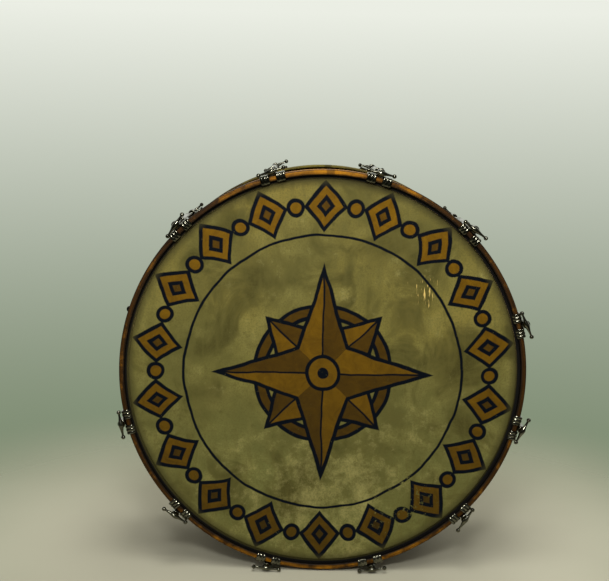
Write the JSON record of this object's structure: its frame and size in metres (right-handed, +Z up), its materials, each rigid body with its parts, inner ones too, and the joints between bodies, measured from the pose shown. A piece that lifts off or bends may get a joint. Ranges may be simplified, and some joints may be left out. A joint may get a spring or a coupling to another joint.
{
  "type": "marching drum",
  "caption": "Round two-headed wooden bass drum for marching, with hide heads, wooden counterhoops, double claws and thumb rods into tube lugs, standing on its edge.",
  "frame": {"origin": "on the ground under the middle of the drum", "axes": "+Z up, Y along the drum's axis with the painted front head facing -Y, +X to the right as the front head is seen"},
  "size_m": [0.7647, 0.3512, 0.7561],
  "materials": {
    "shell_wood": "stained and lacquered",
    "hoop_wood": "worn brown lacquer",
    "pale_wood": "bare",
    "calfskin": "aged, painted border and star",
    "nickel_plate": "tarnished nickel plate",
    "brass": "tarnished"
  },
  "bodies": {
    "drum": {"shell_and_lugs": "shell_wood", "air_vent": "brass", "front_reinforcing_ring": "pale_wood", "front_head": "calfskin", "front_flesh_hoop": "pale_wood", "front_counterhoop": "hoop_wood", "rear_reinforcing_ring": "pale_wood", "rear_head": "calfskin", "rear_flesh_hoop": "pale_wood", "rear_counterhoop": "hoop_wood"},
    "front_claw_01": {"front_claw_01": "nickel_plate"},
    "front_thumb_rod_01": {"front_thumb_rod_01": "nickel_plate"},
    "front_claw_02": {"front_claw_02": "nickel_plate"},
    "front_thumb_rod_02": {"front_thumb_rod_02": "nickel_plate"},
    "front_claw_03": {"front_claw_03": "nickel_plate"},
    "front_thumb_rod_03": {"front_thumb_rod_03": "nickel_plate"},
    "front_claw_04": {"front_claw_04": "nickel_plate"},
    "front_thumb_rod_04": {"front_thumb_rod_04": "nickel_plate"},
    "front_claw_05": {"front_claw_05": "nickel_plate"},
    "front_thumb_rod_05": {"front_thumb_rod_05": "nickel_plate"},
    "front_claw_07": {"front_claw_07": "nickel_plate"},
    "front_thumb_rod_07": {"front_thumb_rod_07": "nickel_plate"},
    "front_claw_08": {"front_claw_08": "nickel_plate"},
    "front_thumb_rod_08": {"front_thumb_rod_08": "nickel_plate"},
    "front_claw_09": {"front_claw_09": "nickel_plate"},
    "front_thumb_rod_09": {"front_thumb_rod_09": "nickel_plate"},
    "front_claw_10": {"front_claw_10": "nickel_plate"},
    "front_thumb_rod_10": {"front_thumb_rod_10": "nickel_plate"},
    "front_claw_11": {"front_claw_11": "nickel_plate"},
    "front_thumb_rod_11": {"front_thumb_rod_11": "nickel_plate"},
    "front_claw_12": {"front_claw_12": "nickel_plate"},
    "front_thumb_rod_12": {"front_thumb_rod_12": "nickel_plate"},
    "rear_claw_01": {"rear_claw_01": "nickel_plate"},
    "rear_thumb_rod_01": {"rear_thumb_rod_01": "nickel_plate"},
    "rear_claw_02": {"rear_claw_02": "nickel_plate"},
    "rear_thumb_rod_02": {"rear_thumb_rod_02": "nickel_plate"},
    "rear_claw_03": {"rear_claw_03": "nickel_plate"},
    "rear_thumb_rod_03": {"rear_thumb_rod_03": "nickel_plate"},
    "rear_claw_04": {"rear_claw_04": "nickel_plate"},
    "rear_thumb_rod_04": {"rear_thumb_rod_04": "nickel_plate"},
    "rear_claw_05": {"rear_claw_05": "nickel_plate"},
    "rear_thumb_rod_05": {"rear_thumb_rod_05": "nickel_plate"},
    "rear_claw_06": {"rear_claw_06": "nickel_plate"},
    "rear_thumb_rod_06": {"rear_thumb_rod_06": "nickel_plate"},
    "rear_claw_07": {"rear_claw_07": "nickel_plate"},
    "rear_thumb_rod_07": {"rear_thumb_rod_07": "nickel_plate"},
    "rear_claw_08": {"rear_claw_08": "nickel_plate"},
    "rear_thumb_rod_08": {"rear_thumb_rod_08": "nickel_plate"},
    "rear_claw_09": {"rear_claw_09": "nickel_plate"},
    "rear_thumb_rod_09": {"rear_thumb_rod_09": "nickel_plate"},
    "rear_claw_10": {"rear_claw_10": "nickel_plate"},
    "rear_thumb_rod_10": {"rear_thumb_rod_10": "nickel_plate"},
    "rear_claw_11": {"rear_claw_11": "nickel_plate"},
    "rear_thumb_rod_11": {"rear_thumb_rod_11": "nickel_plate"},
    "rear_claw_12": {"rear_claw_12": "nickel_plate"},
    "rear_thumb_rod_12": {"rear_thumb_rod_12": "nickel_plate"}
  },
  "joints": [
    {"name": "front_claw_01_slide", "type": "slide", "parent": "drum", "child": "front_claw_01", "axis": [0, -1, 0], "range_m": [0, 0.0127]},
    {"name": "front_thumb_rod_01_turn", "type": "hinge", "parent": "front_claw_01", "child": "front_thumb_rod_01", "pos_m": [0.36734, -0.1613, 0.47357], "axis": [0, -1, 0], "range_deg": [0, 3600]},
    {"name": "front_claw_02_slide", "type": "slide", "parent": "drum", "child": "front_claw_02", "axis": [0, -1, 0], "range_m": [0, 0.0127]},
    {"name": "front_thumb_rod_02_turn", "type": "hinge", "parent": "front_claw_02", "child": "front_thumb_rod_02", "pos_m": [0.26891, -0.1613, 0.64405], "axis": [0, -1, 0], "range_deg": [0, 3600]},
    {"name": "front_claw_03_slide", "type": "slide", "parent": "drum", "child": "front_claw_03", "axis": [0, -1, 0], "range_m": [0, 0.0127]},
    {"name": "front_thumb_rod_03_turn", "type": "hinge", "parent": "front_claw_03", "child": "front_thumb_rod_03", "pos_m": [0.09843, -0.1613, 0.74248], "axis": [0, -1, 0], "range_deg": [0, 3600]},
    {"name": "front_claw_04_slide", "type": "slide", "parent": "drum", "child": "front_claw_04", "axis": [0, -1, 0], "range_m": [0, 0.0127]},
    {"name": "front_thumb_rod_04_turn", "type": "hinge", "parent": "front_claw_04", "child": "front_thumb_rod_04", "pos_m": [-0.09843, -0.1613, 0.74248], "axis": [0, -1, 0], "range_deg": [0, 3600]},
    {"name": "front_claw_05_slide", "type": "slide", "parent": "drum", "child": "front_claw_05", "axis": [0, -1, 0], "range_m": [0, 0.0127]},
    {"name": "front_thumb_rod_05_turn", "type": "hinge", "parent": "front_claw_05", "child": "front_thumb_rod_05", "pos_m": [-0.26891, -0.1613, 0.64405], "axis": [0, -1, 0], "range_deg": [0, 3600]},
    {"name": "front_claw_07_slide", "type": "slide", "parent": "drum", "child": "front_claw_07", "axis": [0, -1, 0], "range_m": [0, 0.0127]},
    {"name": "front_thumb_rod_07_turn", "type": "hinge", "parent": "front_claw_07", "child": "front_thumb_rod_07", "pos_m": [-0.36734, -0.1613, 0.27671], "axis": [0, -1, 0], "range_deg": [0, 3600]},
    {"name": "front_claw_08_slide", "type": "slide", "parent": "drum", "child": "front_claw_08", "axis": [0, -1, 0], "range_m": [0, 0.0127]},
    {"name": "front_thumb_rod_08_turn", "type": "hinge", "parent": "front_claw_08", "child": "front_thumb_rod_08", "pos_m": [-0.26891, -0.1613, 0.10623], "axis": [0, -1, 0], "range_deg": [0, 3600]},
    {"name": "front_claw_09_slide", "type": "slide", "parent": "drum", "child": "front_claw_09", "axis": [0, -1, 0], "range_m": [0, 0.0127]},
    {"name": "front_thumb_rod_09_turn", "type": "hinge", "parent": "front_claw_09", "child": "front_thumb_rod_09", "pos_m": [-0.09843, -0.1613, 0.0078], "axis": [0, -1, 0], "range_deg": [0, 3600]},
    {"name": "front_claw_10_slide", "type": "slide", "parent": "drum", "child": "front_claw_10", "axis": [0, -1, 0], "range_m": [0, 0.0127]},
    {"name": "front_thumb_rod_10_turn", "type": "hinge", "parent": "front_claw_10", "child": "front_thumb_rod_10", "pos_m": [0.09843, -0.1613, 0.0078], "axis": [0, -1, 0], "range_deg": [0, 3600]},
    {"name": "front_claw_11_slide", "type": "slide", "parent": "drum", "child": "front_claw_11", "axis": [0, -1, 0], "range_m": [0, 0.0127]},
    {"name": "front_thumb_rod_11_turn", "type": "hinge", "parent": "front_claw_11", "child": "front_thumb_rod_11", "pos_m": [0.26891, -0.1613, 0.10623], "axis": [0, -1, 0], "range_deg": [0, 3600]},
    {"name": "front_claw_12_slide", "type": "slide", "parent": "drum", "child": "front_claw_12", "axis": [0, -1, 0], "range_m": [0, 0.0127]},
    {"name": "front_thumb_rod_12_turn", "type": "hinge", "parent": "front_claw_12", "child": "front_thumb_rod_12", "pos_m": [0.36734, -0.1613, 0.27671], "axis": [0, -1, 0], "range_deg": [0, 3600]},
    {"name": "rear_claw_01_slide", "type": "slide", "parent": "drum", "child": "rear_claw_01", "axis": [0, 1, 0], "range_m": [0, 0.0127]},
    {"name": "rear_thumb_rod_01_turn", "type": "hinge", "parent": "rear_claw_01", "child": "rear_thumb_rod_01", "pos_m": [-0.36734, 0.1613, 0.47357], "axis": [0, 1, 0], "range_deg": [0, 3600]},
    {"name": "rear_claw_02_slide", "type": "slide", "parent": "drum", "child": "rear_claw_02", "axis": [0, 1, 0], "range_m": [0, 0.0127]},
    {"name": "rear_thumb_rod_02_turn", "type": "hinge", "parent": "rear_claw_02", "child": "rear_thumb_rod_02", "pos_m": [-0.26891, 0.1613, 0.64405], "axis": [0, 1, 0], "range_deg": [0, 3600]},
    {"name": "rear_claw_03_slide", "type": "slide", "parent": "drum", "child": "rear_claw_03", "axis": [0, 1, 0], "range_m": [0, 0.0127]},
    {"name": "rear_thumb_rod_03_turn", "type": "hinge", "parent": "rear_claw_03", "child": "rear_thumb_rod_03", "pos_m": [-0.09843, 0.1613, 0.74248], "axis": [0, 1, 0], "range_deg": [0, 3600]},
    {"name": "rear_claw_04_slide", "type": "slide", "parent": "drum", "child": "rear_claw_04", "axis": [0, 1, 0], "range_m": [0, 0.0127]},
    {"name": "rear_thumb_rod_04_turn", "type": "hinge", "parent": "rear_claw_04", "child": "rear_thumb_rod_04", "pos_m": [0.09843, 0.1613, 0.74248], "axis": [0, 1, 0], "range_deg": [0, 3600]},
    {"name": "rear_claw_05_slide", "type": "slide", "parent": "drum", "child": "rear_claw_05", "axis": [0, 1, 0], "range_m": [0, 0.0127]},
    {"name": "rear_thumb_rod_05_turn", "type": "hinge", "parent": "rear_claw_05", "child": "rear_thumb_rod_05", "pos_m": [0.26891, 0.1613, 0.64405], "axis": [0, 1, 0], "range_deg": [0, 3600]},
    {"name": "rear_claw_06_slide", "type": "slide", "parent": "drum", "child": "rear_claw_06", "axis": [0, 1, 0], "range_m": [0, 0.0127]},
    {"name": "rear_thumb_rod_06_turn", "type": "hinge", "parent": "rear_claw_06", "child": "rear_thumb_rod_06", "pos_m": [0.36734, 0.1613, 0.47357], "axis": [0, 1, 0], "range_deg": [0, 3600]},
    {"name": "rear_claw_07_slide", "type": "slide", "parent": "drum", "child": "rear_claw_07", "axis": [0, 1, 0], "range_m": [0, 0.0127]},
    {"name": "rear_thumb_rod_07_turn", "type": "hinge", "parent": "rear_claw_07", "child": "rear_thumb_rod_07", "pos_m": [0.36734, 0.1613, 0.27671], "axis": [0, 1, 0], "range_deg": [0, 3600]},
    {"name": "rear_claw_08_slide", "type": "slide", "parent": "drum", "child": "rear_claw_08", "axis": [0, 1, 0], "range_m": [0, 0.0127]},
    {"name": "rear_thumb_rod_08_turn", "type": "hinge", "parent": "rear_claw_08", "child": "rear_thumb_rod_08", "pos_m": [0.26891, 0.1613, 0.10623], "axis": [0, 1, 0], "range_deg": [0, 3600]},
    {"name": "rear_claw_09_slide", "type": "slide", "parent": "drum", "child": "rear_claw_09", "axis": [0, 1, 0], "range_m": [0, 0.0127]},
    {"name": "rear_thumb_rod_09_turn", "type": "hinge", "parent": "rear_claw_09", "child": "rear_thumb_rod_09", "pos_m": [0.09843, 0.1613, 0.0078], "axis": [0, 1, 0], "range_deg": [0, 3600]},
    {"name": "rear_claw_10_slide", "type": "slide", "parent": "drum", "child": "rear_claw_10", "axis": [0, 1, 0], "range_m": [0, 0.0127]},
    {"name": "rear_thumb_rod_10_turn", "type": "hinge", "parent": "rear_claw_10", "child": "rear_thumb_rod_10", "pos_m": [-0.09843, 0.1613, 0.0078], "axis": [0, 1, 0], "range_deg": [0, 3600]},
    {"name": "rear_claw_11_slide", "type": "slide", "parent": "drum", "child": "rear_claw_11", "axis": [0, 1, 0], "range_m": [0, 0.0127]},
    {"name": "rear_thumb_rod_11_turn", "type": "hinge", "parent": "rear_claw_11", "child": "rear_thumb_rod_11", "pos_m": [-0.26891, 0.1613, 0.10623], "axis": [0, 1, 0], "range_deg": [0, 3600]},
    {"name": "rear_claw_12_slide", "type": "slide", "parent": "drum", "child": "rear_claw_12", "axis": [0, 1, 0], "range_m": [0, 0.0127]},
    {"name": "rear_thumb_rod_12_turn", "type": "hinge", "parent": "rear_claw_12", "child": "rear_thumb_rod_12", "pos_m": [-0.36734, 0.1613, 0.27671], "axis": [0, 1, 0], "range_deg": [0, 3600]}
  ],
  "couplings": [
    {"joint": "front_thumb_rod_01_turn", "follows": "front_claw_01_slide", "rad_per_m": 4947.4},
    {"joint": "front_thumb_rod_02_turn", "follows": "front_claw_02_slide", "rad_per_m": 4947.4},
    {"joint": "front_thumb_rod_03_turn", "follows": "front_claw_03_slide", "rad_per_m": 4947.4},
    {"joint": "front_thumb_rod_04_turn", "follows": "front_claw_04_slide", "rad_per_m": 4947.4},
    {"joint": "front_thumb_rod_05_turn", "follows": "front_claw_05_slide", "rad_per_m": 4947.4},
    {"joint": "front_thumb_rod_07_turn", "follows": "front_claw_07_slide", "rad_per_m": 4947.4},
    {"joint": "front_thumb_rod_08_turn", "follows": "front_claw_08_slide", "rad_per_m": 4947.4},
    {"joint": "front_thumb_rod_09_turn", "follows": "front_claw_09_slide", "rad_per_m": 4947.4},
    {"joint": "front_thumb_rod_10_turn", "follows": "front_claw_10_slide", "rad_per_m": 4947.4},
    {"joint": "front_thumb_rod_11_turn", "follows": "front_claw_11_slide", "rad_per_m": 4947.4},
    {"joint": "front_thumb_rod_12_turn", "follows": "front_claw_12_slide", "rad_per_m": 4947.4},
    {"joint": "rear_thumb_rod_01_turn", "follows": "rear_claw_01_slide", "rad_per_m": 4947.4},
    {"joint": "rear_thumb_rod_02_turn", "follows": "rear_claw_02_slide", "rad_per_m": 4947.4},
    {"joint": "rear_thumb_rod_03_turn", "follows": "rear_claw_03_slide", "rad_per_m": 4947.4},
    {"joint": "rear_thumb_rod_04_turn", "follows": "rear_claw_04_slide", "rad_per_m": 4947.4},
    {"joint": "rear_thumb_rod_05_turn", "follows": "rear_claw_05_slide", "rad_per_m": 4947.4},
    {"joint": "rear_thumb_rod_06_turn", "follows": "rear_claw_06_slide", "rad_per_m": 4947.4},
    {"joint": "rear_thumb_rod_07_turn", "follows": "rear_claw_07_slide", "rad_per_m": 4947.4},
    {"joint": "rear_thumb_rod_08_turn", "follows": "rear_claw_08_slide", "rad_per_m": 4947.4},
    {"joint": "rear_thumb_rod_09_turn", "follows": "rear_claw_09_slide", "rad_per_m": 4947.4},
    {"joint": "rear_thumb_rod_10_turn", "follows": "rear_claw_10_slide", "rad_per_m": 4947.4},
    {"joint": "rear_thumb_rod_11_turn", "follows": "rear_claw_11_slide", "rad_per_m": 4947.4},
    {"joint": "rear_thumb_rod_12_turn", "follows": "rear_claw_12_slide", "rad_per_m": 4947.4}
  ]
}
